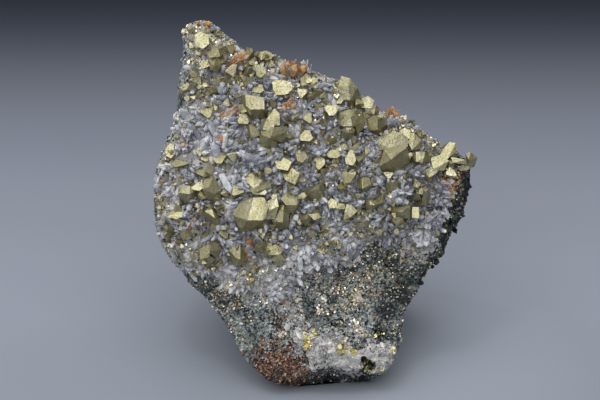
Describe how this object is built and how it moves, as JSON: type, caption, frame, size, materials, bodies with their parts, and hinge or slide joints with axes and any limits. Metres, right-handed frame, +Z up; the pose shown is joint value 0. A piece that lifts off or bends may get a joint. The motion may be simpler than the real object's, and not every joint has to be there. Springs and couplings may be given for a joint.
{
  "type": "chalcopyrite mineral specimen",
  "caption": "Wedge of dark sulphide rock standing on its broken foot, its leaning face crusted with quartz and golden chalcopyrite crystals.",
  "frame": {"origin": "middle of the flat foot that the rock stands on", "axes": "+Z up, -Y towards the side that the crystal face looks to, +X to the right of someone who looks at the crystals"},
  "size_m": [0.1362, 0.0945, 0.1375],
  "materials": {
    "rock": "rough, sparkling with fine sulphide grains",
    "quartz": "glassy crystal faces, pale grey",
    "milky_quartz": "semi-gloss, translucent white",
    "stained_quartz": "glassy, iron-stained orange brown",
    "chalcopyrite": "satin metallic, finely etched faces"
  },
  "bodies": {
    "root": {"quartz_crust": "quartz", "chalcopyrite_left_giant": "chalcopyrite", "chalcopyrite_left_giant_crown": "chalcopyrite", "chalcopyrite_right_giant": "chalcopyrite", "chalcopyrite_arch": "chalcopyrite", "chalcopyrite_top_right": "chalcopyrite", "chalcopyrite_olive_block": "chalcopyrite", "chalcopyrite_top_wedge": "chalcopyrite", "chalcopyrite_top_rough": "chalcopyrite", "chalcopyrite_plate": "chalcopyrite", "chalcopyrite_upper_block": "chalcopyrite", "chalcopyrite_pale_cluster": "chalcopyrite", "chalcopyrite_crossed_blade": "chalcopyrite", "chalcopyrite_ridge_pair": "chalcopyrite", "chalcopyrite_horn_top": "chalcopyrite", "chalcopyrite_horn_block": "chalcopyrite", "chalcopyrite_left_ball": "chalcopyrite", "chalcopyrite_left_spine": "chalcopyrite", "chalcopyrite_left_shelf": "chalcopyrite", "chalcopyrite_lower_left_edge": "chalcopyrite", "chalcopyrite_lower_left_fan": "chalcopyrite", "chalcopyrite_lower_left_bar": "chalcopyrite", "chalcopyrite_lower_olive": "chalcopyrite", "chalcopyrite_striated_wedge": "chalcopyrite", "chalcopyrite_small_spike": "chalcopyrite", "chalcopyrite_cube_crystal": "chalcopyrite", "chalcopyrite_right_wedge": "chalcopyrite", "chalcopyrite_right_olive": "chalcopyrite", "chalcopyrite_right_tall": "chalcopyrite", "chalcopyrite_centre_kite": "chalcopyrite", "chalcopyrite_centre_low": "chalcopyrite", "chalcopyrite_centre_bright": "chalcopyrite", "chalcopyrite_far_right_peak": "chalcopyrite", "chalcopyrite_right_shoulder": "chalcopyrite", "chalcopyrite_left_edge_knot": "chalcopyrite", "chalcopyrite_left_pale": "chalcopyrite", "chalcopyrite_upper_left_knot": "chalcopyrite", "chalcopyrite_horn_neck": "chalcopyrite", "chalcopyrite_top_edge_row": "chalcopyrite", "chalcopyrite_top_edge_stack": "chalcopyrite", "chalcopyrite_top_dark": "chalcopyrite", "chalcopyrite_upper_dark": "chalcopyrite", "chalcopyrite_left_middle": "chalcopyrite", "chalcopyrite_fan": "chalcopyrite", "chalcopyrite_middle_left": "chalcopyrite", "chalcopyrite_lower_left_dark": "chalcopyrite", "chalcopyrite_centre_upper": "chalcopyrite", "chalcopyrite_centre_oval": "chalcopyrite", "chalcopyrite_centre_tooth": "chalcopyrite", "chalcopyrite_centre_blade": "chalcopyrite", "chalcopyrite_centre_flat": "chalcopyrite", "chalcopyrite_right_blade": "chalcopyrite", "stained_quartz_top": "stained_quartz", "stained_quartz_ridge": "stained_quartz", "stained_quartz_centre": "stained_quartz", "stained_quartz_left": "stained_quartz", "stained_quartz_right": "stained_quartz", "quartz_foot": "milky_quartz", "matrix_rock": "rock"}
  },
  "joints": []
}
